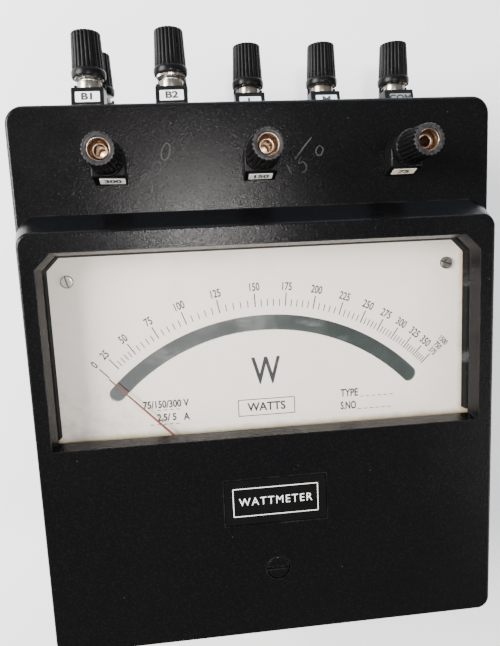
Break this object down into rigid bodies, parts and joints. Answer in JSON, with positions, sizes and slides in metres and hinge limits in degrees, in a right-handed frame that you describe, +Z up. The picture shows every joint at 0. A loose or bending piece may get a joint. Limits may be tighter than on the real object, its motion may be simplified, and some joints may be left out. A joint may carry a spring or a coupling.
{
  "type": "portable wattmeter",
  "caption": "Portable dynamometer wattmeter in a black moulded case lying on its back, with a mirror scale behind glass, a zero adjuster and binding posts on the deck and rear wall.",
  "frame": {"origin": "centre of the whole object's outline, on the table under the feet", "axes": "+X to the right, +Y towards the rear terminals, +Z up out of the dial"},
  "size_m": [0.1892, 0.2496, 0.1172],
  "materials": {
    "bakelite": "satin moulded phenolic, fine grain",
    "steel": "worn zinc-plated screws",
    "rubber": "matte",
    "glass": "clear, lightly dusty",
    "frame_black": "matte",
    "dial_white": "aged off-white enamel with printed scale",
    "mirror": "aged silvered strip",
    "zinc_sheet": "plated sheet",
    "plate_black": "satin black with white border",
    "bronze": "phosphor bronze",
    "aluminium": "as sheet",
    "brass": "turned, slightly tarnished",
    "former_plastic": "moulded brown phenolic",
    "copper_wire": "enamelled copper wire",
    "iron_sheet": "rolled soft iron",
    "pointer_red": "dull red-brown paint",
    "fibre_board": "laminated board",
    "resistance_wire": "wire on ceramic spools",
    "terminal_black": "glossy moulded plastic",
    "nickel": "nickel plate, slightly dull",
    "tinned": "tinned copper",
    "label_paper": "printed tape"
  },
  "bodies": {
    "root": {"case_cover": "bakelite", "case_base": "bakelite", "case_screws": "steel", "rubber_feet": "rubber", "window_glass": "glass", "dial_frame": "frame_black", "dial_plate": "dial_white", "mirror_strip": "mirror", "dial_carrier": "zinc_sheet", "dial_screws": "steel", "carrier_screws": "steel", "nameplate": "plate_black", "movement_plates": "aluminium", "movement_pillars": "brass", "movement_screws": "steel", "bearing_bridges": "brass", "bearing_screws": "brass", "coil_formers": "former_plastic", "current_coils": "copper_wire", "shield_can": "iron_sheet", "damping_box": "aluminium", "resistor_board": "fibre_board", "resistor_spools": "resistance_wire", "terminal_bases": "terminal_black", "terminal_studs": "brass", "terminal_collars": "nickel", "pressure_washers": "nickel", "terminal_nuts": "brass", "solder_tags": "tinned", "label_tapes": "label_paper", "link_wires": "tinned"},
    "zero_adjuster": {"zero_screw": "bakelite"},
    "zero_arm": {"zero_lever": "bronze"},
    "moving_system": {"spindle": "steel", "pointer": "pointer_red", "balance_weights": "brass", "voltage_coil": "copper_wire", "damping_vane": "aluminium", "hairsprings": "bronze"},
    "core_v300": {"insert_v300": "brass"},
    "cap_v300": {"knob_v300": "terminal_black"},
    "core_v150": {"insert_v150": "brass"},
    "cap_v150": {"knob_v150": "terminal_black"},
    "core_v75": {"insert_v75": "brass"},
    "cap_v75": {"knob_v75": "terminal_black"},
    "core_b1": {"insert_b1": "brass"},
    "cap_b1": {"knob_b1": "terminal_black"},
    "core_b2": {"insert_b2": "brass"},
    "cap_b2": {"knob_b2": "terminal_black"},
    "core_l": {"insert_l": "brass"},
    "cap_l": {"knob_l": "terminal_black"},
    "core_m": {"insert_m": "brass"},
    "cap_m": {"knob_m": "terminal_black"},
    "core_com": {"insert_com": "brass"},
    "cap_com": {"knob_com": "terminal_black"},
    "core_a1": {"insert_a1": "brass"},
    "cap_a1": {"knob_a1": "terminal_black"},
    "core_a2": {"insert_a2": "brass"},
    "cap_a2": {"knob_a2": "terminal_black"}
  },
  "joints": [
    {"name": "pointer_swing", "type": "hinge", "parent": "root", "child": "moving_system", "pos_m": [0, -0.0783, 0.089], "axis": [0, 0, -1], "range_deg": [-2, 92], "stiffness_Nm_per_rad": 0.00005, "deforming": ["hairsprings"]},
    {"name": "zero_turn", "type": "hinge", "parent": "root", "child": "zero_adjuster", "pos_m": [0, -0.0933, 0.098], "axis": [0, 0, 1], "range_deg": [-45, 45]},
    {"name": "zero_lever_turn", "type": "hinge", "parent": "root", "child": "zero_arm", "pos_m": [0, -0.0783, 0.0914], "axis": [0, 0, 1], "range_deg": [-3.15, 3.15]},
    {"name": "travel_v300", "type": "slide", "parent": "root", "child": "core_v300", "axis": [0, 0, 1], "range_m": [0, 0.005]},
    {"name": "turn_v300", "type": "hinge", "parent": "core_v300", "child": "cap_v300", "pos_m": [-0.0568, 0.0731, 0.109], "axis": [0, 0, 1], "range_deg": [0, 1803]},
    {"name": "travel_v150", "type": "slide", "parent": "root", "child": "core_v150", "axis": [0, 0, 1], "range_m": [0, 0.005]},
    {"name": "turn_v150", "type": "hinge", "parent": "core_v150", "child": "cap_v150", "pos_m": [0, 0.0731, 0.109], "axis": [0, 0, 1], "range_deg": [0, 1803]},
    {"name": "travel_v75", "type": "slide", "parent": "root", "child": "core_v75", "axis": [0, 0, 1], "range_m": [0, 0.005]},
    {"name": "turn_v75", "type": "hinge", "parent": "core_v75", "child": "cap_v75", "pos_m": [0.0568, 0.0731, 0.109], "axis": [0, 0, 1], "range_deg": [0, 1803]},
    {"name": "travel_b1", "type": "slide", "parent": "root", "child": "core_b1", "axis": [0, 1, 0], "range_m": [-0.0002, 0.0036]},
    {"name": "turn_b1", "type": "hinge", "parent": "core_b1", "child": "cap_b1", "pos_m": [-0.0644, 0.1144, 0.075], "axis": [0, 1, 0], "range_deg": [-75, 1299]},
    {"name": "travel_b2", "type": "slide", "parent": "root", "child": "core_b2", "axis": [0, 1, 0], "range_m": [-0.001, 0.0028]},
    {"name": "turn_b2", "type": "hinge", "parent": "core_b2", "child": "cap_b2", "pos_m": [-0.0322, 0.1144, 0.075], "axis": [0, 1, 0], "range_deg": [-363, 1011]},
    {"name": "travel_l", "type": "slide", "parent": "root", "child": "core_l", "axis": [0, 1, 0], "range_m": [0, 0.005]},
    {"name": "turn_l", "type": "hinge", "parent": "core_l", "child": "cap_l", "pos_m": [0, 0.1144, 0.063], "axis": [0, 1, 0], "range_deg": [0, 1803]},
    {"name": "travel_m", "type": "slide", "parent": "root", "child": "core_m", "axis": [0, 1, 0], "range_m": [0, 0.005]},
    {"name": "turn_m", "type": "hinge", "parent": "core_m", "child": "cap_m", "pos_m": [0.0322, 0.1144, 0.063], "axis": [0, 1, 0], "range_deg": [0, 1803]},
    {"name": "travel_com", "type": "slide", "parent": "root", "child": "core_com", "axis": [0, 1, 0], "range_m": [0, 0.005]},
    {"name": "turn_com", "type": "hinge", "parent": "core_com", "child": "cap_com", "pos_m": [0.0644, 0.1144, 0.063], "axis": [0, 1, 0], "range_deg": [0, 1803]},
    {"name": "travel_a1", "type": "slide", "parent": "root", "child": "core_a1", "axis": [0, 1, 0], "range_m": [-0.0002, 0.0036]},
    {"name": "turn_a1", "type": "hinge", "parent": "core_a1", "child": "cap_a1", "pos_m": [-0.0644, 0.1144, 0.051], "axis": [0, 1, 0], "range_deg": [-75, 1299]},
    {"name": "travel_a2", "type": "slide", "parent": "root", "child": "core_a2", "axis": [0, 1, 0], "range_m": [-0.0002, 0.0036]},
    {"name": "turn_a2", "type": "hinge", "parent": "core_a2", "child": "cap_a2", "pos_m": [-0.0322, 0.1144, 0.051], "axis": [0, 1, 0], "range_deg": [-75, 1299]}
  ],
  "couplings": [
    {"joint": "zero_turn", "follows": "zero_lever_turn", "ratio": 14.2},
    {"joint": "turn_v300", "follows": "travel_v300", "rad_per_m": 6283.2},
    {"joint": "turn_v150", "follows": "travel_v150", "rad_per_m": 6283.2},
    {"joint": "turn_v75", "follows": "travel_v75", "rad_per_m": 6283.2},
    {"joint": "turn_b1", "follows": "travel_b1", "rad_per_m": 6283.2},
    {"joint": "turn_b2", "follows": "travel_b2", "rad_per_m": 6283.2},
    {"joint": "turn_l", "follows": "travel_l", "rad_per_m": 6283.2},
    {"joint": "turn_m", "follows": "travel_m", "rad_per_m": 6283.2},
    {"joint": "turn_com", "follows": "travel_com", "rad_per_m": 6283.2},
    {"joint": "turn_a1", "follows": "travel_a1", "rad_per_m": 6283.2},
    {"joint": "turn_a2", "follows": "travel_a2", "rad_per_m": 6283.2}
  ]
}
